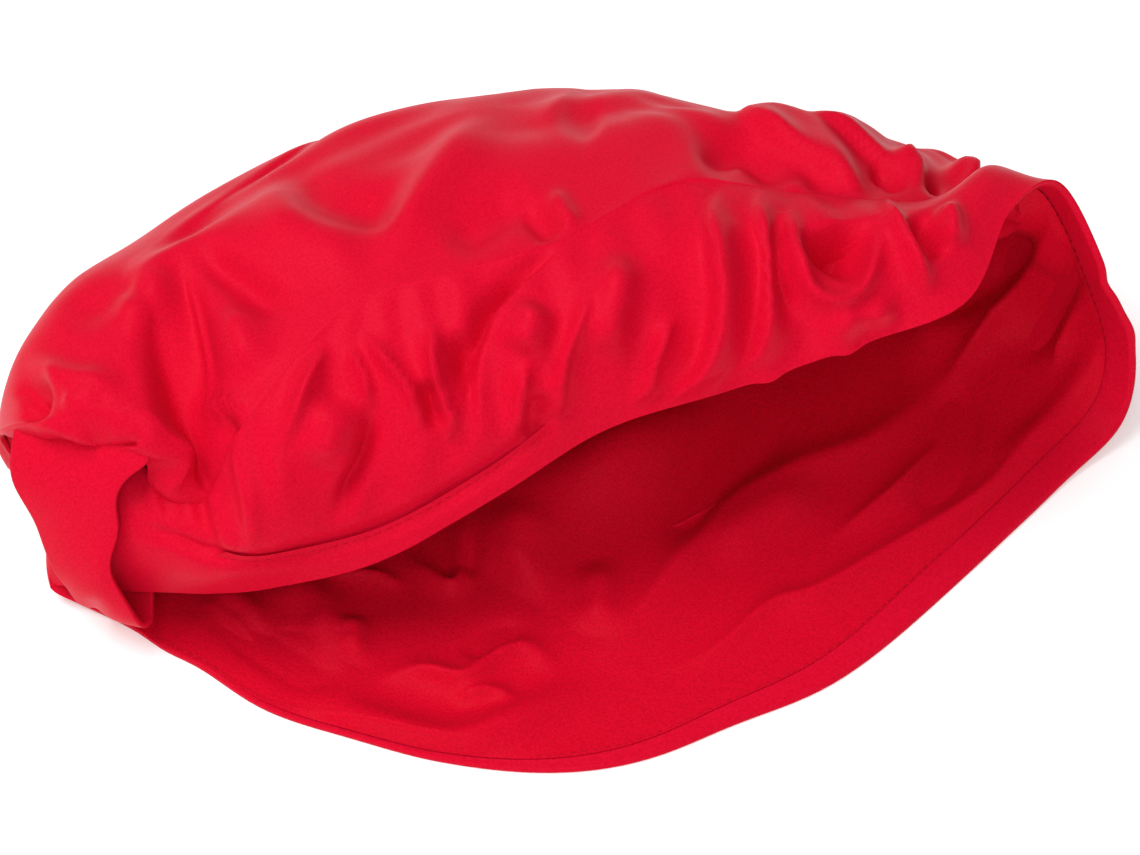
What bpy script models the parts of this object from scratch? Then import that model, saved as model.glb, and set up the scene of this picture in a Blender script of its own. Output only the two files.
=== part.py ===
"""Sleep bonnet of silk satin, lying on its side as it rests on a table.

The knot at the front of the head points to -X, the elastic nape to +X, the top of the
crown to +Y, and the mouth, where the head goes in, to -Y. One ear side lies on the floor
at z = 0 and the other arches over it. Tables are in millimetres, the model in metres.
"""

import math
from collections import namedtuple

import bmesh
import bpy
import numpy as np

MM = 0.001
FOOTPRINT_CENTRE = np.array([4.6, 13.2, 0.0])      # the origin, where the tables have it

# Driving dimensions, in millimetres
CLOTH = 1.1              # wall of one layer of doubled silk
LAYER_GAP = 1.0          # air between the outer cloth and the lining behind it
SEAM_GAP = 1.8           # open slit between the band and the crown, which are sewn together
HEM_GAP = 3.2            # the same between the end of the hem and the lining
KNOT_CLOTH = 1.6         # wall of the knot's loop, a strip folded double
INNER_FACE = 2 * CLOTH + LAYER_GAP

SATIN_RED = (0.70, 0.006, 0.030, 1.0)
LINING_RED = (0.61, 0.003, 0.018, 1.0)
SATIN_ROUGHNESS, LINING_ROUGHNESS = 0.38, 0.45

# One row for each section of the bonnet, counted round the mouth from the knot: over the
# upper side, round the nape, and back along the floor. rim is the edge of the mouth, top
# the upper edge of the band and edge the lower edge of the crown that is sewn to it. hem
# is the width of cloth turned in along the rim. angle says where the section meets the
# crown's rings, and steps how many mesh columns lead to the next section.
Section = namedtuple("Section", "place rim top edge hem angle steps")
SECTIONS = [
    Section("front turn", (-141, 3, 4), (-144, 19, 25), (-146, 28, 37), 6, -8, 2),
    Section("in the loop", (-126, -9, 13), (-125, 11, 50), (-135, 9, 64), 14, 20, 2),
    Section("knot exit", (-113, -16, 17), (-112, -1, 50), (-110, 0, 70), 20, 43, 2),
    Section("pocket end", (-101, -22, 20), (-99, -11, 47), (-99, -11, 47), 15, 49, 3),
    Section("dip", (-86, -28, 25), (-86, -9, 70), (-86, -9, 70), 13, 57, 4),
    Section("temple", (-59, -33, 33), (-55, 10, 83), (-55, 10, 83), 12, 69, 4),
    Section("before ear", (-27, -31, 47), (-28, 11, 87), (-28, 11, 87), 11, 82, 4),
    Section("ear", (3, -25, 57), (1, 13, 89), (1, 13, 89), 11, 94, 4),
    Section("behind ear", (35, -27, 65), (36, 26, 87), (36, 26, 87), 12, 110, 4),
    Section("gather start", (70, -25, 70), (67, 20, 81), (67, 20, 81), 12, 124, 4),
    Section("gather middle", (99, -22, 75), (96, 18, 72), (96, 18, 72), 12, 142, 4),
    Section("nape flare", (119, 2, 79), (119, 24, 62), (119, 24, 62), 12, 161, 4),
    Section("nape crest", (137, 12, 74), (131, 40, 44), (131, 40, 44), 12, 178, 3),
    Section("nape wall", (149, -1, 48), (133, 44, 26), (133, 44, 26), 12, 187, 3),
    Section("nape foot", (156, -11, 20), (126, 38, 8), (126, 38, 8), 12, 197, 2),
    Section("floor nape", (142, -22, 3), (105, 22, 0), (105, 22, 0), 12, 212, 2),
    Section("floor back", (98, -51, 0), (70, 2, 0), (70, 2, 0), 12, 234, 2),
    Section("floor ear", (46, -79, 0), (35, -14, 0), (35, -14, 0), 11, 250, 4),
    Section("floor middle", (-10, -88, 0), (0, -22, 0), (0, -22, 0), 8, 266, 4),
    Section("floor temple", (-54, -75, 0), (-38, -16, 0), (-38, -16, 0), 5, 282, 4),
    Section("floor front", (-92, -46, 0), (-80, -4, 0), (-80, -4, 0), 4, 301, 4),
    Section("under knot", (-119, -16, 0), (-124, 18, 2), (-124, 18, 2), 4, 327, 2),
]
COUNT = len(SECTIONS)
LAST_UPPER = 11          # the sections up to this one are on the upper side
BAND_PUFFS = (8.0, 9.0)  # the upper band stands out at a third and at two thirds of its width
HEM_CREASE = 2.5         # and dips along the hem's stitches

# The crown is a stack of D-shaped rings, with a row for each: where its end towards the
# knot is, where its end towards the nape is, and its height over the floor.
Ring = namedtuple("Ring", "front front_y nape nape_y height")
CROWN_RINGS = [
    Ring(-146, 36, 124, 60, 83),
    Ring(-123, 60, 97, 72, 77),
    Ring(-90, 82, 73, 82, 71),
    Ring(-63, 98, 54, 98, 60),
    Ring(-30, 110, 30, 110, 38),
]
CROWN_TIP = (6, 116, 13)
FRONT_POWER, NAPE_POWER = 2.2, 1.85      # roundness of a ring's upper half, 2 for an ellipse
FLOOR_POWER = 4.0        # squareness of its lower half
FLOOR_PRESS = 1.15       # and how far that half would sink, if the floor did not press it flat
WIDEST_AT = 0.5          # height of a ring's widest point, as a share of its own height

# Main folds, each along a straight line between two places of a piece. A place is given
# in sections around, and in shares of the piece's depth: the band's from rim to top, and
# the crown's from its edge to its tip. A negative height is a valley.
Fold = namedtuple("Fold", "around_a depth_a around_b depth_b height half_width")
BAND_FOLDS = [
    Fold(4.2, 0.80, 4.6, 0.35, 4.0, 7),
    Fold(5.0, 0.85, 5.1, 0.35, 4.0, 6),
    Fold(5.6, 0.85, 5.6, 0.35, -3.5, 5),
    Fold(6.2, 0.90, 6.0, 0.30, 4.5, 6),
    Fold(6.9, 0.85, 6.6, 0.30, -4.0, 5),
    Fold(7.6, 0.90, 7.2, 0.20, 4.5, 7),
    Fold(8.2, 0.90, 7.8, 0.25, -4.5, 5),
    Fold(8.7, 0.90, 8.3, 0.20, 4.5, 6),
    Fold(9.3, 0.85, 9.2, 0.50, -7.0, 8),
    Fold(9.8, 0.90, 9.8, 0.20, 6.0, 6),
    Fold(10.3, 0.85, 10.4, 0.45, -6.0, 6),
    Fold(10.8, 0.90, 10.9, 0.45, 3.5, 5),
    Fold(12.4, 0.85, 12.6, 0.30, -4.0, 7),
    Fold(13.4, 0.85, 13.7, 0.30, 3.5, 7),
]
CROWN_FOLDS = [
    Fold(0.6, 0.10, 1.4, 0.40, -5.0, 9),
    Fold(2.0, 0.05, 2.6, 0.40, 5.0, 9),
    Fold(3.3, 0.05, 3.8, 0.45, -5.0, 9),
    Fold(4.8, 0.08, 4.9, 0.35, 4.0, 9),
    Fold(8.7, 0.05, 7.5, 0.40, -5.0, 10),
    Fold(9.4, 0.05, 8.6, 0.50, 4.5, 9),
    Fold(9.9, 0.05, 9.5, 0.50, -5.0, 7),
    Fold(10.4, 0.04, 10.2, 0.50, 5.0, 6),
    Fold(10.9, 0.04, 11.0, 0.50, -4.5, 6),
    Fold(11.4, 0.04, 11.7, 0.45, 4.5, 6),
    Fold(12.0, 0.04, 12.4, 0.45, -4.0, 7),
    Fold(12.8, 0.05, 13.1, 0.45, 3.5, 8),
]
# Wrinkles of the lining where it lies slack on the floor, with the same places: the band's
# depth runs from 0 to 1 and the crown's on from 1 to 2.
LINING_FOLDS = [
    Fold(20.4, 0.35, 18.9, 0.75, 9.0, 8),
    Fold(20.2, 0.90, 19.0, 1.06, 7.0, 7),
    Fold(19.3, 1.16, 17.6, 1.12, 9.0, 9),
    Fold(18.4, 0.55, 17.0, 1.10, 10.0, 9),
    Fold(17.0, 0.40, 15.4, 0.80, 8.0, 8),
    Fold(16.4, 1.10, 14.6, 1.05, 9.0, 9),
]
SECTION_SPAN = 30.0      # usual distance between sections
BAND_SPAN, CROWN_SPAN = 55.0, 150.0      # usual depth of the band and of the crown

# The loop of the knot wraps the band at the front. It is an oval ring of cloth, long from
# the rim to the crown, that is wide at the crown end and narrow at the rim.
KNOT_CENTRE = (-124.6, -0.7, 32.4)
KNOT_LENGTHWISE = (0.0, 0.47, 0.88)      # from the rim towards the crown
KNOT_OUTWARD = (-0.60, -0.71, 0.38)
KNOT_HALF_LENGTH = 27.0
KNOT_HALF_DEPTH = 8.0
KNOT_WIDE, KNOT_NARROW = 17.5, 6.5       # half widths at the crown end and at the rim end
KNOT_LEAN = 1.0                          # the narrow end leans towards the temple
KNOT_CROWNING = 2.0                      # the middle of the strip stands over its edges
KNOT_POWER = 2.6                         # squareness of the ring, 2 for an ellipse
KNOT_AROUND, KNOT_ACROSS = 30, 7
# The lining is open where the loop goes through it, between these sections, for this many
# rows of its mesh.
SLIT_START, SLIT_END = 21.2, 2.9
SLIT_ROWS = 2

LONGEST_NORMAL = 1.6     # of the normals at a sharp bend, see outward_normals
BAND_SHARES = (0.0, 0.14, 0.36, 0.60, 0.82, 1.0)      # rows from the hem to the band's top
CROWN_ROWS = 10


def unit(vectors):
    length = np.linalg.norm(vectors, axis=-1, keepdims=True)
    return vectors / np.maximum(length, 1e-9)


def spline(points, places, closed):
    """Points on a smooth curve through the first axis of an array, at places counted in it."""
    count = len(points)
    first = np.floor(places).astype(int)
    if not closed:
        first = np.clip(first, 0, count - 2)
    part = (places - first)[(...,) + (None,) * (points.ndim - 1)]
    steps = [first + step for step in (-1, 0, 1, 2)]
    if closed:
        before, start, end, after = (points[index % count] for index in steps)
    else:
        before, start, end, after = (points[np.clip(index, 0, count - 1)] for index in steps)
    return 0.5 * (
        2 * start
        + (end - before) * part
        + (2 * before - 5 * start + 4 * end - after) * part**2
        + (3 * start - before - 3 * end + after) * part**3
    )


def columns():
    """Where the mesh columns stand, counted in sections."""
    places = []
    for index, section in enumerate(SECTIONS):
        places += [index + step / section.steps for step in range(section.steps)]
    return np.array(places)


def loft(rings, around, rows):
    """Grid of points: a column for each place around, with its own rows along the rings."""
    curves = spline(rings.transpose(1, 0, 2), around, closed=True)
    return np.array([spline(curve, row, closed=False) for curve, row in zip(curves, rows)])


def band_rings():
    """Rim and top of the band, with the puffed rings between them."""
    rim = np.array([section.rim for section in SECTIONS], float)
    top = np.array([section.top for section in SECTIONS], float)
    rise = top - rim
    outward = unit(np.stack([0 * rise[:, 0], -rise[:, 2], rise[:, 1]], axis=1))
    outward[0] = 0.0
    outward[LAST_UPPER + 1:] = 0.0
    rings = [rim]
    for index, puff in enumerate(BAND_PUFFS):
        rings.append(rim + rise * (index + 1) / (len(BAND_PUFFS) + 1) + puff * outward)
    return np.array([*rings, top])


def arch(across, power):
    """Height of a rounded arch at a distance from its middle, both as shares of its half."""
    return (1 - abs(across) ** power) ** (1 / power)


def crown_ring(ring):
    """The points of one D-shaped ring, one for each section."""
    middle = (ring.front + ring.nape) / 2
    reach = (ring.nape - ring.front) / 2
    widest = ring.height * WIDEST_AT
    points = []
    for angle in (math.radians(section.angle) for section in SECTIONS):
        across = math.cos(angle)
        x = middle - reach * across
        if math.sin(angle) >= 0:
            power = FRONT_POWER if across > 0 else NAPE_POWER
            z = widest + (ring.height - widest) * arch(across, power)
        else:
            z = max(0.0, widest * (1 - FLOOR_PRESS * arch(across, FLOOR_POWER)))
        y = np.interp(x, (ring.front, ring.nape), (ring.front_y, ring.nape_y))
        points.append((x, y, z))
    return points


def crown_rings():
    """Lower edge of the crown, its D-shaped rings and its tip."""
    edge = [section.edge for section in SECTIONS]
    return np.array([edge, *map(crown_ring, CROWN_RINGS), [CROWN_TIP] * COUNT], float)


def outward_normals(grid):
    """Normals at the points of a grid that closes on itself around. At a bend they are longer
    than 1, so that a surface moved along them keeps its distance from the cells."""
    there = np.roll(grid, -1, axis=0)
    cells = unit(np.cross(there[:, 1:] - grid[:, :-1], grid[:, 1:] - there[:, :-1]))
    cells = np.concatenate([cells, np.roll(cells, 1, axis=0)], axis=2).reshape(*cells.shape[:2], 2, 3)
    empty = np.zeros_like(cells[:, :1])
    corners = np.concatenate([
        np.concatenate([empty, cells], axis=1),
        np.concatenate([cells, empty], axis=1),
    ], axis=2)
    normals = unit(corners.sum(axis=2))
    facing = (corners * normals[:, :, None]).sum(axis=3)
    used = np.maximum((np.abs(facing) > 0).sum(axis=2), 1)
    return normals / np.maximum(facing.sum(axis=2) / used, 1 / LONGEST_NORMAL)[..., None]


def fold_heights(folds, around, depth, spans):
    """How far the folds raise each point of a grid."""
    raised = np.zeros(depth.shape)
    for fold in folds:
        turn = (around - fold.around_a + COUNT / 2) % COUNT - COUNT / 2
        place = np.stack([
            np.broadcast_to(turn[:, None] * SECTION_SPAN, depth.shape),
            (depth - fold.depth_a) * spans,
        ], axis=-1)
        line = np.array([
            (fold.around_b - fold.around_a) * SECTION_SPAN,
            (fold.depth_b - fold.depth_a) * spans,
        ])
        share = np.clip(place @ line / (line @ line), 0, 1)
        away = np.linalg.norm(place - share[..., None] * line, axis=-1)
        raised += fold.height * np.exp(-((away / fold.half_width) ** 2))
    return raised


def lift(grid, heights):
    """The grid with each point moved out along its normal, and kept over the floor."""
    moved = grid + outward_normals(grid) * heights[..., None]
    moved[..., 2] = np.maximum(moved[..., 2], 0.0)
    return moved


def seam_fade(depth, seam, reach=0.10):
    """0 at the seam and 1 away from it, so that folds die where two pieces are sewn."""
    return np.clip(np.abs(depth - seam) / reach, 0, 1)


def band_surface(around):
    """Outer face of the band: a row at the rim, one in the hem, then BAND_SHARES to the top."""
    rings = band_rings()
    rim = spline(rings[0], around, closed=True)
    top = spline(rings[-1], around, closed=True)
    width = np.linalg.norm(top - rim, axis=1)
    hem = spline(np.array([section.hem for section in SECTIONS], float), around, closed=True)
    hem = (hem / width)[:, None]
    last = 1 - SEAM_GAP / 2 / width[:, None]
    shares = np.array(BAND_SHARES)[None, :]
    depth = np.concatenate([0 * hem, hem / 2, hem + (last - hem) * shares], axis=1)
    heights = fold_heights(BAND_FOLDS, around, depth, BAND_SPAN) * seam_fade(depth, 1.0)
    upper = np.clip(np.minimum(around - 1.5, LAST_UPPER - 1 - around), 0, 1)
    heights[:, 2] -= HEM_CREASE * upper
    return lift(loft(rings, around, (len(rings) - 1) * depth), heights), depth


def crown_surface(around):
    """Outer face of the crown: rows from its edge to just before its tip, and the tip."""
    rings = crown_rings()
    depth = np.linspace(0, 1, CROWN_ROWS + 1)
    depth = np.tile(depth, (len(around), 1))
    depth[:, 0] = SEAM_GAP / 2 / CROWN_SPAN
    heights = fold_heights(CROWN_FOLDS, around, depth, CROWN_SPAN) * seam_fade(depth, 0.0)
    heights[:, -1] = 0.0
    return lift(loft(rings, around, (len(rings) - 1) * depth), heights), depth


def inward(grid, normals, distance):
    return grid - normals * distance


def satin(name, colour, roughness):
    material = bpy.data.materials.new(name)
    material.use_nodes = True
    shader = material.node_tree.nodes["Principled BSDF"]
    shader.inputs["Base Color"].default_value = colour
    shader.inputs["Roughness"].default_value = roughness
    shader.inputs["Metallic"].default_value = 0.0
    return material


def add_cloth(collection, name, grid, wall, material, tip=None, gaps=()):
    """An object from a grid of points in millimetres that closes on itself around, with a
    wall on its inner side. gaps lists the cells, by column and row, that are left open."""
    shape = bmesh.new()
    grid = (grid - FOOTPRINT_CENTRE) * MM
    points = [[shape.verts.new(point) for point in column] for column in grid]
    apex = shape.verts.new((tip - FOOTPRINT_CENTRE) * MM) if tip is not None else None
    for i, here in enumerate(points):
        there = points[(i + 1) % len(points)]
        for j in range(len(here) - 1):
            if (i, j) not in gaps:
                shape.faces.new((here[j], there[j], there[j + 1], here[j + 1]))
        if apex:
            shape.faces.new((here[-1], there[-1], apex))
    mesh = bpy.data.meshes.new(name)
    shape.to_mesh(mesh)
    shape.free()
    mesh.shade_smooth()
    mesh.materials.append(material)
    cloth = bpy.data.objects.new(name, mesh)
    collection.objects.link(cloth)
    thickness = cloth.modifiers.new("cloth", "SOLIDIFY")
    thickness.thickness = wall * MM
    thickness.offset = -1.0
    return cloth


def make_crown(collection, around):
    """The pouch for the hair, from its lower edge to its closed tip."""
    grid, _ = crown_surface(around)
    material = satin("crown", SATIN_RED, SATIN_ROUGHNESS)
    add_cloth(collection, "crown", grid[:, :-1], CLOTH, material, tip=grid[0, -1])


def make_band(collection, around):
    """The ruched band. Its cloth turns in at the rim and runs back as far as the hem."""
    outside, _ = band_surface(around)
    inside = inward(outside, outward_normals(outside), INNER_FACE)[:, 2::-1]
    inside[..., 2] = np.maximum(inside[..., 2], CLOTH)
    fold = (outside[:, 0] + inside[:, -1]) / 2
    fold -= unit(outside[:, 1] - outside[:, 0]) * INNER_FACE / 2
    grid = np.concatenate([inside, fold[:, None], outside], axis=1)
    material = satin("band", SATIN_RED, SATIN_ROUGHNESS)
    add_cloth(collection, "band", grid, CLOTH, material)


def make_lining(collection, around):
    """The inner layer, from the hem to the crown's tip, open where the knot goes through."""
    band, band_depth = band_surface(around)
    crown, crown_depth = crown_surface(around)
    slit = (around > SLIT_START) | (around < SLIT_END)
    apart = np.concatenate([outward_normals(band), outward_normals(crown)], axis=1)
    normals = outward_normals(np.concatenate([band, crown], axis=1))
    normals[slit] = apart[slit]
    normals[:, -1] = normals[:, -2].mean(axis=0)
    start = 3
    up = unit(band[:, start + 1] - band[:, start - 1])
    band[:, start] = band[:, start - 1] + up * HEM_GAP
    grid = np.concatenate([band[:, start:], crown], axis=1)
    depth = np.concatenate([band_depth[:, start:], 1 + crown_depth], axis=1)
    slack = fold_heights(LINING_FOLDS, around, depth, BAND_SPAN)
    slack[:, 0] = 0.0
    grid = inward(grid, normals[:, start:], (CLOTH + LAYER_GAP + slack)[..., None])
    seam_row = band.shape[1] - start - 1
    gaps = {(i, seam_row + row) for i in np.flatnonzero(slit) for row in range(SLIT_ROWS)}
    material = satin("lining", LINING_RED, LINING_ROUGHNESS)
    add_cloth(collection, "lining", grid[:, :-1], CLOTH, material, grid[0, -1], gaps)


def make_knot_loop(collection):
    """The loop of folded cloth round the front of the band."""
    centre = np.array(KNOT_CENTRE)
    outward = unit(np.array(KNOT_OUTWARD))
    lengthwise = unit(np.array(KNOT_LENGTHWISE))
    lengthwise = unit(lengthwise - outward * (lengthwise @ outward))
    widthwise = np.cross(outward, lengthwise)
    columns_here = []
    for step in range(KNOT_AROUND):
        turn = 2 * math.pi * step / KNOT_AROUND
        along, out = math.cos(turn), math.sin(turn)
        crownward = (1 + along) / 2
        half_width = KNOT_NARROW + (KNOT_WIDE - KNOT_NARROW) * crownward
        middle = centre
        middle = middle + lengthwise * KNOT_HALF_LENGTH * rounded(along)
        middle = middle + outward * KNOT_HALF_DEPTH * rounded(out)
        middle = middle - widthwise * KNOT_LEAN * (1 - crownward)
        raised = unit(lengthwise * along / KNOT_HALF_LENGTH + outward * out / KNOT_HALF_DEPTH)
        column = []
        for across in np.linspace(-1, 1, KNOT_ACROSS):
            sag = KNOT_CROWNING * (1 - across**2) * half_width / KNOT_WIDE
            column.append(middle + widthwise * half_width * across + raised * sag)
        columns_here.append(column)
    material = satin("knot_loop", SATIN_RED, SATIN_ROUGHNESS)
    add_cloth(collection, "knot_loop", np.array(columns_here), KNOT_CLOTH, material)


def rounded(value):
    """A coordinate of a superellipse in place of an ellipse's."""
    return math.copysign(abs(value) ** (2 / KNOT_POWER), value)


def main():
    for old in list(bpy.data.objects):
        bpy.data.objects.remove(old)
    bonnet = bpy.data.collections.new("sleep_bonnet")
    bpy.context.scene.collection.children.link(bonnet)
    around = columns()
    make_crown(bonnet, around)
    make_band(bonnet, around)
    make_lining(bonnet, around)
    make_knot_loop(bonnet)


if __name__ == "__main__":
    main()
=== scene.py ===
"""Looks of the sleep bonnet: red silk satin in soft folds, lying on its side with its mouth to
the camera. Shapes are in millimetres on the table that the bonnet lies on, and places on the
picture in pixels of a frame of 1140 x 855."""

import math
from collections import namedtuple

import bmesh
import bpy
import numpy as np
from mathutils import Matrix


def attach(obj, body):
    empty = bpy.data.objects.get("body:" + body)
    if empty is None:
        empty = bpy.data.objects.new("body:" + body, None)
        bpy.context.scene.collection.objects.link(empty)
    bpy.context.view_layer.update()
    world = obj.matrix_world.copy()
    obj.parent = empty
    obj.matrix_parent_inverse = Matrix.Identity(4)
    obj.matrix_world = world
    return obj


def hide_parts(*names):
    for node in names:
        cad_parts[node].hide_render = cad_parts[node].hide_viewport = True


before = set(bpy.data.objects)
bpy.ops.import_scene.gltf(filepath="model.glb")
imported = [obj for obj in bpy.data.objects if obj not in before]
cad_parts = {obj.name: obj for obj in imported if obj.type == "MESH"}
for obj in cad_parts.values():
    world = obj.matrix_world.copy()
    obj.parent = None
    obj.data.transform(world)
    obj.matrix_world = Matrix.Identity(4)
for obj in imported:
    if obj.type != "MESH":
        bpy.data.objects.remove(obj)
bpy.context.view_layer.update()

# Camera
# The bonnet is seen from above and from a little to the left of its mouth, from just under a
# metre away with a long lens.
MM = 0.001
FRAME_ORIGIN = np.array([4.6, 13.2, 0.0])      # where the frame's origin is on the table
PICTURE_WIDTH, PICTURE_HEIGHT = 1140, 855
LENS, SENSOR = 110.0, 36.0
CAMERA_AZIMUTH, CAMERA_ELEVATION = math.radians(-15), math.radians(50)
CAMERA_DISTANCE = 920.0
AIMED_AT = np.array([0.0, 0.0, 30.0])

to_camera = np.array([
    math.sin(CAMERA_AZIMUTH) * math.cos(CAMERA_ELEVATION),
    -math.cos(CAMERA_AZIMUTH) * math.cos(CAMERA_ELEVATION),
    math.sin(CAMERA_ELEVATION),
])
picture_right = np.array([math.cos(CAMERA_AZIMUTH), math.sin(CAMERA_AZIMUTH), 0.0])
picture_up = np.cross(to_camera, picture_right)
camera_place = AIMED_AT + to_camera * CAMERA_DISTANCE

camera = bpy.data.objects.new("camera", bpy.data.cameras.new("camera"))
camera.data.lens, camera.data.sensor_width = LENS, SENSOR
camera.data.clip_start, camera.data.clip_end = 0.05, 20.0
axes = Matrix([picture_right, picture_up, to_camera]).transposed().to_4x4()
camera.matrix_world = Matrix.Translation((camera_place - FRAME_ORIGIN) * MM) @ axes
bpy.context.scene.collection.objects.link(camera)
bpy.context.scene.camera = camera


def on_picture(points):
    """The pixels at which the camera sees points on the table."""
    away = points - camera_place
    scale = LENS / SENSOR * PICTURE_WIDTH / -(away @ to_camera)
    return np.stack([
        PICTURE_WIDTH / 2 + scale * (away @ picture_right),
        PICTURE_HEIGHT / 2 - scale * (away @ picture_up),
    ], axis=-1)


# Crown
# The crown is the pouch for the hair: one layer of red silk satin, cut round, gathered at its
# edge into the band and closed at its tip. It lies slack, pressed flat on the table below.
Section = namedtuple("Section", "rim top edge hem angle")
SECTIONS = [       # round the mouth from the knot, over the upper side and back on the floor
    Section((-141, 3, 4), (-144, 19, 25), (-146, 28, 37), 6, -8),
    Section((-126, -9, 13), (-125, 11, 50), (-135, 9, 64), 21, 20),
    Section((-113, -16, 17), (-112, -1, 50), (-110, 0, 70), 22, 43),
    Section((-101, -22, 20), (-99, -11, 47), (-99, -11, 47), 17, 49),
    Section((-86, -28, 25), (-86, -9, 70), (-86, -9, 70), 12, 57),
    Section((-59, -33, 33), (-55, 10, 83), (-55, 10, 83), 10, 69),
    Section((-27, -31, 47), (-28, 11, 87), (-28, 11, 87), 9, 82),
    Section((3, -25, 57), (1, 13, 89), (1, 13, 89), 11, 94),
    Section((35, -27, 65), (36, 26, 87), (36, 26, 87), 12, 110),
    Section((70, -25, 70), (67, 20, 81), (67, 20, 81), 12, 124),
    Section((99, -22, 75), (96, 18, 72), (96, 18, 72), 12, 142),
    Section((119, 2, 79), (119, 24, 62), (119, 24, 62), 12, 161),
    Section((137, 12, 74), (131, 40, 44), (131, 40, 44), 12, 178),
    Section((149, -1, 48), (133, 44, 26), (133, 44, 26), 12, 187),
    Section((156, -11, 20), (126, 38, 8), (126, 38, 8), 12, 197),
    Section((142, -22, 3), (105, 22, 0), (105, 22, 0), 12, 212),
    Section((98, -51, 0), (70, 2, 0), (70, 2, 0), 12, 234),
    Section((46, -79, 0), (35, -14, 0), (35, -14, 0), 11, 250),
    Section((-10, -88, 0), (0, -22, 0), (0, -22, 0), 8, 266),
    Section((-54, -75, 0), (-38, -16, 0), (-38, -16, 0), 5, 282),
    Section((-92, -46, 0), (-80, -4, 0), (-80, -4, 0), 4, 301),
    Section((-119, -16, 0), (-124, 18, 2), (-124, 18, 2), 4, 327),
]
COUNT = len(SECTIONS)
UPPER_START, UPPER_END = 0.5, 14.0     # the sections whose outer side the camera sees
Ring = namedtuple("Ring", "front front_y nape nape_y height")
CROWN_RINGS = [
    Ring(-146, 36, 124, 60, 83),
    Ring(-123, 60, 97, 72, 76),
    Ring(-90, 82, 73, 82, 70),
    Ring(-63, 98, 54, 98, 60),
    Ring(-30, 110, 30, 110, 38),
]
CROWN_TIP = (6, 116, 13)
FRONT_POWER, NAPE_POWER, FLOOR_POWER = 2.2, 1.7, 4.0
FLOOR_PRESS, WIDEST_AT = 1.15, 0.5
TUCK = 1.5               # cloth past a seam, turned to the inside
SLIT_TUCK = 13.0         # the same where the crown stands open over the knot
SLIT_FROM, SLIT_TO = 0.3, 3.2     # the sections between which it stands open
CROWN_ROWS = 120
CROWN_COLUMNS = (26, 8)  # columns for each section on the upper side and on the floor

CROWN_FOLD_DEPTH = 1.3
Fold = namedtuple("Fold", "form height width path")
# form: soft is a rounded wave, crisp has a pointed crest, lap drops away on the right of its
# path. height is in millimetres, negative for a valley, and width and path are in pixels.
Pull = namedtuple("Pull", "place move radius")
# Cloth around a place on the picture is drawn aside by a move, to the right and down in pixels.
CROWN_PULLS = [
    Pull((166, 462), (24, -12), 20),
    Pull((146, 436), (8, -10), 14),
    Pull((205, 492), (6, 2), 16),
    Pull((250, 450), (8, 2), 18),
    Pull((665, 98), (0, -11), 70),
    Pull((560, 90), (0, -3), 60),
    Pull((895, 128), (0, 16), 46),
    Pull((955, 155), (-2, 10), 30),
    Pull((90, 290), (-8, -8), 50),
]
CROWN_FOLDS = [
    Fold("soft", -4.0, 15, [(170, 236), (184, 290), (197, 350), (206, 420)]),
    Fold("crisp", 2.2, 8, [(180, 260), (192, 312), (202, 372), (210, 412)]),
    Fold("soft", -4.0, 17, [(176, 236), (222, 268), (262, 298), (296, 322)]),
    Fold("soft", 3.5, 22, [(232, 300), (246, 345), (256, 380)]),
    Fold("soft", 3.5, 22, [(512, 100), (452, 160), (410, 215), (362, 268)]),
    Fold("soft", -3.0, 20, [(440, 250), (480, 222), (535, 188)]),
    Fold("soft", -2.5, 12, [(520, 200), (545, 228), (560, 246)]),
    Fold("soft", 2.0, 10, [(548, 190), (565, 215), (578, 238)]),
    Fold("soft", -1.6, 16, [(560, 104), (580, 122), (604, 136)]),
    Fold("soft", 1.2, 18, [(590, 96), (560, 114), (540, 140)]),
    Fold("soft", -3.0, 14, [(20, 405), (34, 392), (58, 390)]),
    Fold("soft", 3.0, 14, [(22, 365), (80, 384), (130, 382)]),
    Fold("soft", -3.0, 9, [(26, 430), (36, 412), (30, 395)]),
    Fold("soft", 2.5, 9, [(60, 400), (82, 408), (104, 404)]),
    Fold("crisp", 2.0, 6, [(196, 412), (216, 405), (240, 402), (254, 410)]),
    Fold("soft", -4.0, 12, [(214, 420), (232, 436), (244, 458)]),
    Fold("lap", 5.0, 22, [(722, 100), (767, 130), (809, 158), (846, 182), (880, 196)]),
    Fold("lap", 4.0, 16, [(800, 112), (836, 126), (866, 142), (900, 170), (925, 190)]),
    Fold("soft", -5.0, 16, [(690, 158), (740, 146), (774, 164), (806, 182)]),
    Fold("soft", -4.0, 10, [(868, 160), (890, 172), (906, 190)]),
    Fold("soft", 4.0, 10, [(884, 142), (912, 160), (930, 186)]),
    Fold("soft", -4.0, 7, [(920, 160), (932, 174), (940, 192)]),
    Fold("soft", 4.0, 8, [(938, 166), (952, 164), (966, 176), (958, 190)]),
    Fold("soft", -3.0, 22, [(270, 170), (330, 200), (420, 210)]),
    Fold("soft", 2.5, 30, [(250, 200), (320, 240), (380, 250)]),
    Fold("soft", -2.5, 20, [(60, 330), (110, 300), (160, 268)]),
    Fold("soft", 2.5, 22, [(120, 330), (150, 300), (166, 262)]),
]


def unit(vectors):
    length = np.linalg.norm(vectors, axis=-1, keepdims=True)
    return vectors / np.maximum(length, 1e-9)


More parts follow.
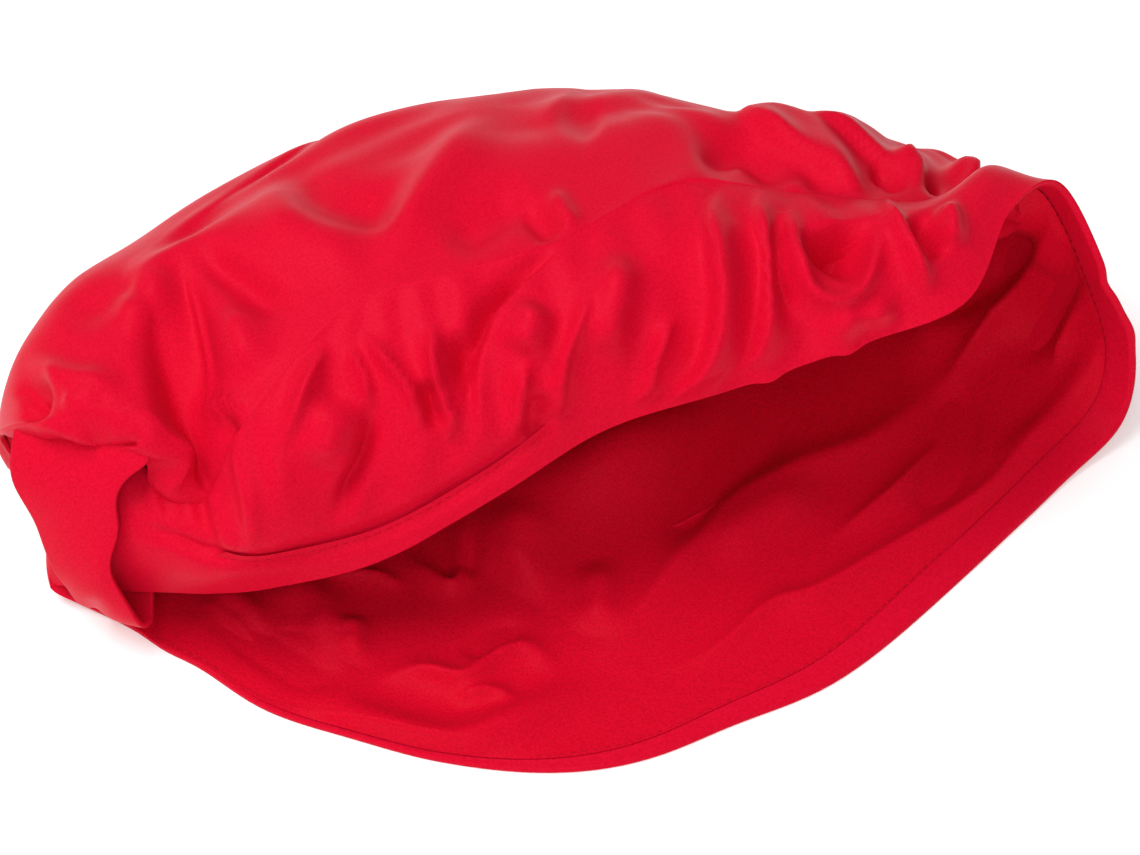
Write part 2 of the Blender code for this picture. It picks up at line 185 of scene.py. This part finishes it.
def spline(points, places, closed):
    """Points on a smooth curve through the first axis of an array, at places counted in it."""
    count = len(points)
    first = np.floor(places).astype(int)
    if not closed:
        first = np.clip(first, 0, count - 2)
    part = (places - first)[(...,) + (None,) * (points.ndim - 1)]
    steps = [first + step for step in (-1, 0, 1, 2)]
    if closed:
        before, start, end, after = (points[index % count] for index in steps)
    else:
        before, start, end, after = (points[np.clip(index, 0, count - 1)] for index in steps)
    return 0.5 * (
        2 * start
        + (end - before) * part
        + (2 * before - 5 * start + 4 * end - after) * part**2
        + (3 * start - before - 3 * end + after) * part**3
    )


def columns_around(upper, floor):
    """Where the mesh's columns stand, counted in sections."""
    places = []
    for index in range(COUNT):
        steps = upper if UPPER_START - 1 < index < UPPER_END else floor
        places += [index + step / steps for step in range(steps)]
    return np.array(places)


def loft(rings, around, depth):
    """Grid of points: a column for each place around, with a row for each depth from 0 to 1."""
    curves = spline(rings.transpose(1, 0, 2), around, closed=True)
    rows = depth * (len(rings) - 1)
    return np.array([spline(curve, row, closed=False) for curve, row in zip(curves, rows)])


def arch(across, power):
    return (1 - abs(across) ** power) ** (1 / power)


def crown_ring(ring):
    """The points of one D-shaped ring, one for each section."""
    middle, reach = (ring.front + ring.nape) / 2, (ring.nape - ring.front) / 2
    widest = ring.height * WIDEST_AT
    points = []
    for angle in (math.radians(section.angle) for section in SECTIONS):
        across = math.cos(angle)
        x = middle - reach * across
        if math.sin(angle) >= 0:
            power = FRONT_POWER if across > 0 else NAPE_POWER
            z = widest + (ring.height - widest) * arch(across, power)
        else:
            z = max(0.0, widest * (1 - FLOOR_PRESS * arch(across, FLOOR_POWER)))
        y = np.interp(x, (ring.front, ring.nape), (ring.front_y, ring.nape_y))
        points.append((x, y, z))
    return points


def grid_normals(grid):
    """Outward normals at the points of a grid that closes on itself around."""
    around = np.roll(grid, -1, axis=0) - np.roll(grid, 1, axis=0)
    along = np.gradient(grid, axis=1)
    return unit(np.cross(around, along))


def smoothed(values, times):
    """Values on a grid that closes on itself around, each averaged with its neighbours."""
    for _ in range(times):
        values = (np.roll(values, 1, axis=0) + 2 * values + np.roll(values, -1, axis=0)) / 4
        inner = (values[:, :-2] + 2 * values[:, 1:-1] + values[:, 2:]) / 4
        values = np.concatenate([values[:, :1], inner, values[:, -1:]], axis=1)
    return values


def fold_profile(form, side, width):
    """Height of a fold at a distance to the side of its line, as a share of its full height."""
    if form == "soft":
        return np.exp(-((side / width) ** 2))
    blunt = 0.3 * width
    crisp = np.exp((blunt - np.sqrt(side**2 + blunt**2)) / (0.6 * width))
    if form == "crisp":
        return crisp
    return np.where(side < 0, np.exp(-((side / width) ** 2)), np.exp(-((side / (0.22 * width)) ** 2)))


def fold_heights(folds, pixels):
    """How far the folds raise each point, in millimetres, from where the camera sees it."""
    raised = np.zeros(pixels.shape[:-1])
    for fold in folds:
        path = np.array(fold.path, float)
        path = spline(path, np.linspace(0, len(path) - 1, 6 * (len(path) - 1) + 1), closed=False)
        reach = 3.2 * fold.width
        near = ((pixels > path.min(axis=0) - reach) & (pixels < path.max(axis=0) + reach)).all(axis=-1)
        points = pixels[near]
        nearest = np.full(len(points), np.inf)
        side = np.zeros(len(points))
        run = np.zeros(len(points))
        lengths = np.linalg.norm(np.diff(path, axis=0), axis=1)
        passed = 0.0
        for start, end, length in zip(path[:-1], path[1:], lengths):
            line = (end - start) / length
            along = np.clip((points - start) @ line, 0, length)
            offset = points - start - along[:, None] * line
            distance = np.linalg.norm(offset, axis=1)
            closer = distance < nearest
            nearest[closer] = distance[closer]
            turn = line[0] * offset[closer, 1] - line[1] * offset[closer, 0]
            side[closer] = np.copysign(distance[closer], turn)
            run[closer] = passed + along[closer]
            passed += length
        ends = np.clip(np.minimum(run, passed - run) / (0.35 * passed), 0, 1)
        fade = ends * ends * (3 - 2 * ends)
        raised[near] += fold.height * fade * fold_profile(fold.form, side, fold.width)
    return raised


def pulled(grid, pulls):
    """A grid after its pulls. What lies on the table slides along it, the rest moves as seen."""
    pixels = on_picture(grid)
    pixels_per_mm = LENS / SENSOR * PICTURE_WIDTH / CAMERA_DISTANCE
    away = np.array([-to_camera[0], -to_camera[1], 0.0])
    slide = away / (away @ picture_up)
    lying = np.clip((18 - grid[..., 2:]) / 12, 0, 1)
    upward = picture_up * (1 - lying) + slide * lying
    for pull in pulls:
        distance = np.linalg.norm(pixels - pull.place, axis=-1, keepdims=True)
        share = np.exp(-((distance / pull.radius) ** 2)) / pixels_per_mm
        grid = grid + share * (pull.move[0] * picture_right - pull.move[1] * upward)
    return grid


def seen_folds(grid, normals, folds):
    """Fold heights where the surface faces the camera, fading out towards its outline."""
    facing = np.clip((normals @ to_camera - 0.02) / 0.25, 0, 1)
    return fold_heights(folds, on_picture(grid)) * facing


def ripples(across, along, seed, length, waves=14, spread=0.5):
    """Irregular small waves from -1 to 1, whose crests run about along the second axis."""
    rng = np.random.default_rng(seed)
    total = np.zeros(across.shape)
    for _ in range(waves):
        turn = rng.normal(0, spread)
        wave_length = length * rng.uniform(0.6, 1.7)
        phase = rng.uniform(0, 2 * math.pi)
        place = across * math.cos(turn) + along * math.sin(turn)
        total += np.sin(2 * math.pi * place / wave_length + phase)
    return total / math.sqrt(waves)


MERGE_DISTANCE = 1e-6


def cloth_mesh(name, grid, closed=True):
    """A mesh from a grid of points on the table, with the cloth's own lengths as its UVs."""
    columns, rows = grid.shape[:2]
    points = (grid - FRAME_ORIGIN) * MM
    last = columns if closed else columns - 1
    here = np.arange(last)[:, None] * rows + np.arange(rows - 1)[None, :]
    there = (np.arange(last)[:, None] + 1) % columns * rows + np.arange(rows - 1)[None, :]
    faces = np.stack([here, there, there + 1, here + 1], axis=-1).reshape(-1, 4)
    mesh = bpy.data.meshes.new(name)
    mesh.from_pydata(points.reshape(-1, 3), [], faces.tolist())
    step_around = np.linalg.norm(np.diff(points, axis=0, append=points[:1]), axis=-1)
    u = np.concatenate([np.zeros(1), np.cumsum(step_around.mean(axis=1))])
    step_along = np.linalg.norm(np.diff(points, axis=1), axis=-1).mean(axis=0)
    v = np.concatenate([np.zeros(1), np.cumsum(step_along)])
    corner_u = u[np.arange(last)[:, None, None] + np.array([0, 1, 1, 0])]
    corner_v = v[np.arange(rows - 1)[None, :, None] + np.array([0, 0, 1, 1])]
    uv = np.stack(np.broadcast_arrays(corner_u, corner_v), axis=-1)
    mesh.uv_layers.new(name="cloth").data.foreach_set("uv", uv.astype(np.float32).ravel())
    mesh.shade_smooth()
    shape = bmesh.new()
    shape.from_mesh(mesh)
    bmesh.ops.remove_doubles(shape, verts=shape.verts, dist=MERGE_DISTANCE)
    shape.to_mesh(mesh)
    shape.free()
    piece = bpy.data.objects.new(name, mesh)
    bpy.context.scene.collection.objects.link(piece)
    return piece


def satin(name, colour, deep_colour, roughness, sheen, grain):
    """Silk satin: threads too fine to see singly, whose grain glitters a little."""
    material = bpy.data.materials.new(name)
    material.use_nodes = True
    nodes, links = material.node_tree.nodes, material.node_tree.links
    shader = nodes["Principled BSDF"]
    place = nodes.new("ShaderNodeTexCoord")
    threads = nodes.new("ShaderNodeTexNoise")
    threads.inputs["Scale"].default_value = 1500.0
    threads.inputs["Detail"].default_value = 3.0
    patches = nodes.new("ShaderNodeTexNoise")
    patches.inputs["Scale"].default_value = 60.0
    patches.inputs["Detail"].default_value = 2.0
    links.new(place.outputs["Object"], threads.inputs["Vector"])
    links.new(place.outputs["Object"], patches.inputs["Vector"])
    blend = nodes.new("ShaderNodeMix")
    blend.data_type = "RGBA"
    blend.inputs["A"].default_value = (*colour, 1.0)
    blend.inputs["B"].default_value = (*deep_colour, 1.0)
    share = nodes.new("ShaderNodeMapRange")
    share.inputs["From Min"].default_value, share.inputs["From Max"].default_value = 0.35, 0.75
    links.new(threads.outputs["Fac"], share.inputs["Value"])
    links.new(share.outputs["Result"], blend.inputs["Factor"])
    links.new(blend.outputs["Result"], shader.inputs["Base Color"])
    shine = nodes.new("ShaderNodeMapRange")
    shine.inputs["To Min"].default_value = roughness - 0.05
    shine.inputs["To Max"].default_value = roughness + 0.07
    links.new(patches.outputs["Fac"], shine.inputs["Value"])
    links.new(shine.outputs["Result"], shader.inputs["Roughness"])
    relief = nodes.new("ShaderNodeBump")
    relief.inputs["Strength"].default_value = grain
    relief.inputs["Distance"].default_value = 0.0002
    links.new(threads.outputs["Fac"], relief.inputs["Height"])
    links.new(relief.outputs["Normal"], shader.inputs["Normal"])
    shader.inputs["Specular IOR Level"].default_value = 0.5
    shader.inputs["IOR"].default_value = 1.16
    shader.inputs["Specular Tint"].default_value = (1.0, 0.28, 0.36, 1.0)
    shader.inputs["Sheen Weight"].default_value = sheen
    shader.inputs["Sheen Roughness"].default_value = 0.4
    shader.inputs["Sheen Tint"].default_value = (1.0, 0.1, 0.18, 1.0)
    return material


crown_rings = np.array(
    [[section.edge for section in SECTIONS], *map(crown_ring, CROWN_RINGS), [CROWN_TIP] * COUNT],
    float,
)
around = columns_around(*CROWN_COLUMNS)
depth = np.tile(np.linspace(0, 1, CROWN_ROWS), (len(around), 1))
crown_base = loft(crown_rings, around, depth)
crown_normals = unit(smoothed(grid_normals(crown_base), 4))
heights = seen_folds(crown_base, crown_normals, CROWN_FOLDS)
heights = heights * CROWN_FOLD_DEPTH
gathered = np.exp(-(((around[:, None] - 10.3) / 2.0) ** 2)) * np.exp(-depth / 0.22)
heights = heights + 2.2 * gathered * ripples(around[:, None] * 26 + 0 * depth, depth * 60, seed=3, length=17)
slack = np.clip(depth / 0.3, 0, 1)
heights = heights + 0.9 * slack * ripples(around[:, None] * 20 + 0 * depth, depth * 150, seed=7, length=46, spread=1.2)
heights = heights * np.clip(depth / 0.03, 0, 1)
crown_grid = crown_base + crown_normals * heights[..., None]
crown_grid = pulled(crown_grid, CROWN_PULLS)
crown_grid[..., 2] = np.maximum(crown_grid[..., 2], 0.3)
open_slit = np.clip(np.minimum(around - SLIT_FROM, SLIT_TO - around) / 0.6, 0, 1)[:, None]
reach = TUCK + (SLIT_TUCK - TUCK) * open_slit
along_cloth = unit(crown_grid[:, 0] - crown_grid[:, 3])
inside = -crown_normals[:, 0]
turned = np.linspace(1, 0.1, 9)[:, None, None]
tuck = crown_grid[:, 0] + reach * (inside * turned + 0.35 * along_cloth * np.sin(math.pi * turned))
tuck[..., 2] = np.maximum(tuck[..., 2], 0.3)
crown_grid = np.concatenate([tuck.transpose(1, 0, 2), crown_grid], axis=1)
crown = cloth_mesh("satin_crown", crown_grid)
SATIN_RED, SATIN_DEEP = (0.68, 0.004, 0.028), (0.56, 0.002, 0.018)
satin_red = satin("satin_red", SATIN_RED, SATIN_DEEP, 0.40, 0.05, 0.3)
crown.data.materials.append(satin_red)
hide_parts("crown")
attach(crown, "root")

# Band
# The band is a wide strip of the same satin, ruched along its length, gathered by elastic at
# the nape and turned in along the mouth, where a row of stitches holds the hem.
BAND_PUFFS = (8.0, 9.0)
LAST_UPPER = 11
BAND_ROWS = 120
BAND_COLUMNS = (26, 14)
HEM_CREASE = 2.5
HEM_THICKNESS = 1.7
HEM_END = 7.0            # the section past which the hem is lost in the folds
BAND_FOLD_DEPTH = 1.35
RIM_PULLS = [
    Pull((275, 705), (-3, 7), 70),
    Pull((170, 640), (-3, 4), 30),
    Pull((740, 738), (-2, -6), 70),
    Pull((1105, 425), (8, 4), 48),
    Pull((1010, 545), (2, -3), 40),
    Pull((848, 345), (0, 6), 14),
    Pull((770, 380), (2, 5), 14),
    Pull((1108, 285), (-5, 0), 12),
    Pull((1130, 330), (4, 0), 16),
    Pull((30, 540), (10, -10), 26),
]
BAND_FOLDS = [
    Fold("crisp", 4.0, 12, [(322, 334), (319, 360), (303, 393), (290, 427), (281, 452)]),
    Fold("soft", 4.0, 24, [(338, 392), (330, 430), (318, 470)]),
    Fold("soft", -4.0, 9, [(371, 400), (366, 448), (347, 493), (338, 526)]),
    Fold("crisp", 2.5, 7, [(347, 345), (364, 374), (371, 410)]),
    Fold("crisp", 3.5, 9, [(358, 328), (383, 357), (407, 383), (420, 413), (428, 438)]),
    Fold("soft", -4.0, 9, [(424, 375), (432, 405), (438, 432)]),
    Fold("crisp", 4.5, 9, [(434, 316), (434, 340), (436, 372), (444, 400), (450, 438)]),
    Fold("soft", -4.0, 11, [(458, 325), (460, 360), (463, 392)]),
    Fold("crisp", 2.5, 5, [(453, 400), (452, 445)]),
    Fold("lap", -4.5, 14, [(475, 442), (472, 400), (473, 367), (482, 333), (493, 307), (522, 278), (561, 246)]),
    Fold("crisp", 3.5, 9, [(588, 275), (585, 303), (573, 333), (563, 360), (558, 393), (557, 445)]),
    Fold("crisp", 4.0, 10, [(530, 355), (520, 387), (517, 423), (510, 450)]),
    Fold("soft", -4.0, 12, [(540, 390), (534, 420), (528, 446)]),
    Fold("soft", 4.5, 20, [(540, 300), (528, 330), (516, 356)]),
    Fold("soft", 5.0, 22, [(622, 250), (608, 320), (590, 360)]),
    Fold("crisp", 3.5, 10, [(676, 310), (655, 355), (647, 387), (628, 410)]),
    Fold("lap", 6.0, 24, [(728, 178), (710, 217), (713, 255), (717, 305), (705, 359), (678, 394), (645, 418)]),
    Fold("lap", 5.0, 20, [(767, 182), (756, 212), (767, 252), (765, 305), (755, 352), (728, 382)]),
    Fold("soft", -5.0, 9, [(779, 200), (776, 240), (780, 285), (790, 330)]),
    Fold("soft", -9.0, 26, [(836, 220), (838, 250), (826, 278)]),
    Fold("crisp", 5.0, 12, [(792, 195), (795, 240), (806, 285), (830, 300), (860, 288), (876, 250), (876, 208)]),
    Fold("crisp", 5.0, 12, [(890, 192), (889, 217), (909, 252), (925, 282), (933, 300)]),
    Fold("soft", -5.0, 10, [(912, 215), (928, 240), (942, 262)]),
    Fold("soft", 4.0, 12, [(940, 205), (950, 225), (946, 250)]),
    Fold("soft", 4.0, 16, [(820, 330), (860, 316), (905, 310)]),
]

band_rings = [np.array([section.rim for section in SECTIONS], float)]
band_top = np.array([section.top for section in SECTIONS], float)
rise = band_top - band_rings[0]
outward = unit(np.stack([0 * rise[:, 0], -rise[:, 2], rise[:, 1]], axis=1))
outward[0] = 0.0
outward[LAST_UPPER + 1:] = 0.0
for index, puff in enumerate(BAND_PUFFS):
    band_rings.append(band_rings[0] + rise * (index + 1) / 3 + puff * outward)
band_rings = np.array([*band_rings, band_top])

around = columns_around(*BAND_COLUMNS)
depth = np.tile(np.linspace(0, 1, BAND_ROWS), (len(around), 1))
band_base = loft(band_rings, around, depth)
band_normals = unit(smoothed(grid_normals(band_base), 4))
width = np.linalg.norm(band_base[:, -1] - band_base[:, 0], axis=1, keepdims=True)
hem = spline(np.array([section.hem for section in SECTIONS], float), around, closed=True)[:, None]
from_hem = depth * width - hem
upper = np.clip(np.minimum(around - 1.5, LAST_UPPER - 1 - around), 0, 1)[:, None]
heights = seen_folds(band_base, band_normals, BAND_FOLDS)
hem_held = np.clip((HEM_END - around) / 2, 0, 1)[:, None]
ruched = np.clip(from_hem / 8, 1 - hem_held, 1) * np.clip((1 - depth) / 0.08, 0, 1)
ruched = ruched * np.clip(depth / 0.12, hem_held, 1)
ruffles = ripples(around[:, None] * 30 + 0 * depth, depth * width, seed=4, length=13, spread=0.25)
heights = BAND_FOLD_DEPTH * heights * ruched + 0.5 * ruched * upper * ruffles
hemmed = upper * np.clip(HEM_END - around, 0, 1)[:, None]
heights = heights - HEM_CREASE * hemmed * np.exp(-((from_hem / 2.5) ** 2))
band_grid = band_base + band_normals * heights[..., None]
band_grid[..., 2] = np.maximum(band_grid[..., 2], 0.3)
facing_share = np.linspace(1, 0, 16)
facing_depth = facing_share[None, :] * np.minimum(hem / width, 0.5)
facing_base = loft(band_rings, around, facing_depth)
facing_inward = band_normals[:, :1] * HEM_THICKNESS
facing = facing_base - facing_inward * np.clip(facing_share[None, :, None] / 0.1, 0.4, 1)
top_tuck = band_grid[:, -1:] - band_normals[:, -1:] * TUCK
band_cloth = pulled(np.concatenate([facing, band_grid, top_tuck], axis=1), RIM_PULLS)
lift = np.concatenate([HEM_THICKNESS * facing_share**0.3, np.zeros(BAND_ROWS + 1)])
band_cloth[..., 2] = np.maximum(band_cloth[..., 2], 0.3 + lift)
band = cloth_mesh("satin_band", band_cloth)
band.data.materials.append(satin_red)
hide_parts("band")
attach(band, "root")

# Hem stitches
# A single row of lockstitch in red polyester thread holds the hem's inner edge all round.
STITCH_LENGTH, STITCH_PITCH, THREAD_RADIUS = 2.1, 2.9, 0.22
STITCH_SIDES = 6
STITCHED_ROW = 2
line = band_cloth[:, STITCHED_ROW]
line_normals = grid_normals(band_cloth)[:, STITCHED_ROW]
line, line_normals = np.append(line, line[:1], axis=0), np.append(line_normals, line_normals[:1], axis=0)
travel = np.append(0.0, np.cumsum(np.linalg.norm(np.diff(line, axis=0), axis=1)))


def on_line(values, places):
    """Values along the seam line, at distances from its start."""
    return np.stack([np.interp(places, travel, values[:, axis]) for axis in range(3)], axis=-1)


starts = np.arange(0, travel[-1] - STITCH_LENGTH, STITCH_PITCH)
along_stitch = np.array([0.0, 0.12, 0.5, 0.88, 1.0])
plumpness = np.array([0.35, 0.9, 1.0, 0.9, 0.35])
places = starts[:, None] + along_stitch * STITCH_LENGTH
centres, out = on_line(line, places), unit(on_line(line_normals, places))
ahead = unit(np.gradient(centres, axis=1))
aside = unit(np.cross(ahead, out))
ring = np.arange(STITCH_SIDES) * 2 * math.pi / STITCH_SIDES
radius = THREAD_RADIUS * plumpness[None, :, None, None]
points = (
    (centres + out * THREAD_RADIUS * 0.7)[:, :, None]
    + radius * np.cos(ring)[:, None] * aside[:, :, None]
    + radius * np.sin(ring)[:, None] * out[:, :, None]
)
points[..., 2] = np.maximum(points[..., 2], 0.3)
faces = []
ring_count = len(along_stitch)
for stitch in range(len(starts)):
    first = stitch * ring_count * STITCH_SIDES
    for step in range(ring_count - 1):
        low_ring, high_ring = first + step * STITCH_SIDES, first + (step + 1) * STITCH_SIDES
        for side in range(STITCH_SIDES):
            other = (side + 1) % STITCH_SIDES
            faces.append((low_ring + side, low_ring + other, high_ring + other, high_ring + side))
    last_ring = first + (ring_count - 1) * STITCH_SIDES
    faces.append(tuple(range(first + STITCH_SIDES - 1, first - 1, -1)))
    faces.append(tuple(range(last_ring, last_ring + STITCH_SIDES)))
thread_mesh = bpy.data.meshes.new("hem_stitches")
thread_mesh.from_pydata(((points - FRAME_ORIGIN) * MM).reshape(-1, 3), [], faces)
thread_mesh.shade_smooth()
hem_stitches = bpy.data.objects.new("hem_stitches", thread_mesh)
bpy.context.scene.collection.objects.link(hem_stitches)
THREAD_RED, THREAD_DEEP = (0.50, 0.004, 0.02), (0.38, 0.003, 0.014)
hem_stitches.data.materials.append(satin("red_thread", THREAD_RED, THREAD_DEEP, 0.5, 0.05, 0.6))
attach(hem_stitches, "root")

# Lining
# The lining is the same silk with its crepe-like back to the inside. It is sewn in under the
# hem and lies slack on the table side, in swirls.
LINING_ROWS = 200
LINING_COLUMNS = (14, 26)
LINING_GAP = 2.2
CEILING_GAP = 13.0
SKY_SHARE = 0.3          # the ceiling hangs down by no more than this share of its height
LINING_FOLDS = [
    Fold("crisp", 4.0, 11, [(396, 546), (420, 571), (449, 589), (461, 578), (465, 548), (477, 520)]),
    Fold("soft", 6.0, 34, [(520, 520), (520, 560), (505, 590)]),
    Fold("soft", -3.0, 9, [(471, 535), (469, 560), (466, 585)]),
    Fold("crisp", 3.0, 9, [(312, 580), (373, 577), (411, 593)]),
    Fold("soft", 5.0, 24, [(255, 600), (291, 592), (322, 612), (324, 640), (306, 656)]),
    Fold("soft", -4.0, 14, [(205, 606), (250, 634), (298, 664), (352, 684)]),
    Fold("crisp", 4.5, 14, [(370, 682), (418, 672), (464, 681), (497, 658), (523, 649), (547, 663), (556, 688)]),
    Fold("soft", -4.0, 12, [(466, 664), (494, 640), (530, 634)]),
    Fold("crisp", 3.0, 10, [(452, 704), (491, 694), (520, 708)]),
    Fold("soft", 5.5, 20, [(300, 668), (352, 714), (400, 735), (455, 745), (509, 727), (560, 700), (606, 670)]),
    Fold("crisp", 5.0, 26, [(975, 352), (878, 440), (796, 473), (728, 505), (696, 545), (655, 595), (619, 636), (574, 691)]),
    Fold("soft", -6.0, 30, [(790, 410), (720, 470), (690, 520), (660, 560)]),
    Fold("soft", -5.0, 20, [(960, 377), (951, 427), (937, 482), (905, 509)]),
    Fold("crisp", 4.0, 14, [(1067, 391), (1015, 459), (969, 505), (887, 555), (815, 595), (769, 609), (710, 655), (642, 677)]),
    Fold("soft", 3.0, 14, [(1110, 330), (1080, 380), (1040, 430), (985, 475)]),
    Fold("soft", 4.0, 20, [(590, 560), (600, 600), (592, 640)]),
    Fold("soft", 11.0, 48, [(430, 560), (520, 510), (620, 470), (720, 430)]),
    Fold("soft", 5.0, 30, [(540, 500), (600, 480), (680, 430), (740, 400)]),
    Fold("crisp", 4.5, 14, [(1067, 202), (1032, 267), (998, 321), (959, 367), (930, 405)]),
    Fold("crisp", 3.0, 10, [(1084, 290), (1063, 340), (1050, 372)]),
    Fold("soft", -5.0, 18, [(1044, 215), (1005, 275), (963, 309), (925, 340)]),
    Fold("soft", 5.0, 26, [(1010, 250), (985, 300), (940, 330), (880, 360)]),
    Fold("soft", -4.0, 16, [(1080, 240), (1052, 310), (1010, 370)]),
    Fold("soft", 3.5, 14, [(205, 590), (240, 604), (268, 636)]),
    Fold("crisp", 3.0, 9, [(196, 597), (236, 622), (286, 662), (330, 684)]),
    Fold("soft", 4.0, 12, [(352, 616), (356, 640), (348, 662)]),
    Fold("soft", 4.0, 22, [(700, 560), (760, 520), (830, 490)]),
    Fold("crisp", 3.5, 12, [(820, 545), (880, 505), (930, 455), (962, 400)]),
]
around = columns_around(*LINING_COLUMNS)
band_rows = LINING_ROWS // 2
depth = np.tile(np.linspace(0, 1, band_rows), (len(around), 1))
hem = spline(np.array([section.hem for section in SECTIONS], float), around, closed=True)[:, None]
rim_to_top = np.linalg.norm(
    spline(band_rings[-1], around, closed=True) - spline(band_rings[0], around, closed=True),
    axis=1, keepdims=True,
)
start = np.minimum((hem - 2) / rim_to_top, 0.45)
inner_band = loft(band_rings, around, start + (1 - start) * depth)
inner_crown = loft(crown_rings, around, depth)
lining_base = np.concatenate([inner_band, inner_crown[:, 1:]], axis=1)
lining_normals = unit(smoothed(grid_normals(lining_base), 6))
overhead = np.clip(lining_normals[..., 2] * 3, 0, 1)
run_in = np.clip(np.arange(lining_base.shape[1]) / 30, 0, 1)[None, :]
ceiling = np.minimum(CEILING_GAP, SKY_SHARE * np.maximum(lining_base[..., 2], 9.0))
gap = LINING_GAP + (ceiling - LINING_GAP) * overhead * run_in
lining_base = lining_base - lining_normals * gap[..., None]
inner_normals = -lining_normals
heights = seen_folds(lining_base, inner_normals, LINING_FOLDS) * np.clip(run_in * 6, 0, 1)
lining_grid = pulled(lining_base + inner_normals * heights[..., None], RIM_PULLS)
lining_grid[..., 2] = np.maximum(lining_grid[..., 2], 1.2)
lining = cloth_mesh("silk_lining", lining_grid[::-1])
LINING_RED, LINING_DEEP = (0.66, 0.003, 0.022), (0.52, 0.002, 0.014)
lining.data.materials.append(satin("lining_red", LINING_RED, LINING_DEEP, 0.36, 0.05, 0.9))
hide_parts("lining")
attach(lining, "root")

# Knot loop
# A strip of the same satin is folded double and wrapped round the front of the band, where it
# makes the turban's knot. Its upper end goes in under the edge of the crown.
KNOT_CENTRE = np.array([-124.6, -0.7, 32.4])
KNOT_LENGTHWISE, KNOT_OUTWARD = (0.0, 0.47, 0.88), (-0.60, -0.71, 0.38)
KNOT_HALF_LENGTH, KNOT_HALF_DEPTH = 27.0, 8.5
KNOT_WIDE, KNOT_NARROW = 18.0, 7.5
KNOT_POWER = 2.6
KNOT_CROWNING = 2.0
outward = unit(np.array(KNOT_OUTWARD))
lengthwise = np.array(KNOT_LENGTHWISE)
lengthwise = unit(lengthwise - outward * (lengthwise @ outward))
widthwise = np.cross(outward, lengthwise)


def rounded(value):
    """A coordinate of a superellipse in place of an ellipse's."""
    return np.copysign(np.abs(value) ** (2 / KNOT_POWER), value)


KNOT_FOLDS = [
    Fold("crisp", 2.5, 8, [(42, 505), (36, 530), (48, 560), (56, 590)]),
    Fold("soft", -3.0, 8, [(52, 520), (60, 560), (62, 590)]),
    Fold("lap", 2.5, 12, [(150, 462), (132, 478), (117, 503), (101, 543), (94, 580), (98, 600)]),
]
KNOT_PULLS = [
    Pull((140, 458), (22, 2), 17),
    Pull((134, 430), (-2, -2), 12),
    Pull((132, 500), (-10, 0), 26),
    Pull((135, 565), (-20, 0), 34),
    Pull((145, 618), (6, 4), 14),
    Pull((20, 480), (-12, 0), 34),
    Pull((60, 600), (4, -8), 22),
    Pull((95, 615), (0, -12), 18),
    Pull((60, 428), (0, -2), 40),
]
turn = np.linspace(0, 2 * math.pi, 160, endpoint=False)[:, None]
across = np.linspace(-1, 1, 60)[None, :]
along, out = np.cos(turn), np.sin(turn)
half_width = KNOT_NARROW + (KNOT_WIDE - KNOT_NARROW) * (1 + along) / 2
sag = KNOT_CROWNING * (1 - across**2)
knot_base = (
    KNOT_CENTRE
    + lengthwise * (KNOT_HALF_LENGTH * rounded(along))[..., None]
    + outward * (KNOT_HALF_DEPTH * rounded(out) + sag * out)[..., None]
    + widthwise * (half_width * across)[..., None]
)
knot_normals = grid_normals(knot_base)
heights = seen_folds(knot_base, knot_normals, KNOT_FOLDS)
knot_grid = pulled(knot_base + knot_normals * heights[..., None], KNOT_PULLS)
knot_loop = cloth_mesh("satin_knot_loop", knot_grid)
knot_loop.data.materials.append(satin_red)
thickness = knot_loop.modifiers.new("doubled", "SOLIDIFY")
thickness.thickness, thickness.offset = 1.6 * MM, -1.0
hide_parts("knot_loop")
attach(knot_loop, "root")

# Studio
# The bonnet lies on a plain white table under large soft lights.
FLOOR_HALF = 3.0
floor_mesh = bpy.data.meshes.new("floor")
corners = [(x * FLOOR_HALF, y * FLOOR_HALF, 0) for x, y in ((-1, -1), (1, -1), (1, 1), (-1, 1))]
floor_mesh.from_pydata(corners, [], [(0, 1, 2, 3)])
floor = bpy.data.objects.new("floor", floor_mesh)
bpy.context.scene.collection.objects.link(floor)
paper = bpy.data.materials.new("white_paper")
paper.use_nodes = True
paper.node_tree.nodes["Principled BSDF"].inputs["Base Color"].default_value = (0.92, 0.92, 0.92, 1)
paper.node_tree.nodes["Principled BSDF"].inputs["Roughness"].default_value = 0.9
paper.node_tree.nodes["Principled BSDF"].inputs["Specular IOR Level"].default_value = 0.1
paper.node_tree.nodes["Principled BSDF"].inputs["Emission Color"].default_value = (1, 1, 1, 1)
paper.node_tree.nodes["Principled BSDF"].inputs["Emission Strength"].default_value = 0.22
floor.data.materials.append(paper)

Softbox = namedtuple("Softbox", "place size power")
SOFTBOXES = [
    Softbox((-0.55, 0.15, 1.2), 0.8, 12.0),
    Softbox((-0.25, -1.1, 1.0), 1.0, 9.0),
]
for index, softbox in enumerate(SOFTBOXES):
    lamp = bpy.data.lights.new(f"softbox_{index}", "AREA")
    lamp.size, lamp.energy = softbox.size, softbox.power
    light = bpy.data.objects.new(f"softbox_{index}", lamp)
    light.matrix_world = Matrix.Translation(softbox.place)
    facing_bonnet = (-light.matrix_world.translation).to_track_quat("-Z", "Y").to_matrix().to_4x4()
    light.matrix_world = Matrix.Translation(softbox.place) @ facing_bonnet
    bpy.context.scene.collection.objects.link(light)
world = bpy.data.worlds.new("studio")
world.use_nodes = True
world.node_tree.nodes["Background"].inputs["Color"].default_value = (1, 1, 1, 1)
world.node_tree.nodes["Background"].inputs["Strength"].default_value = 0.38
bpy.context.scene.world = world
bpy.context.scene.view_settings.view_transform = "Standard"
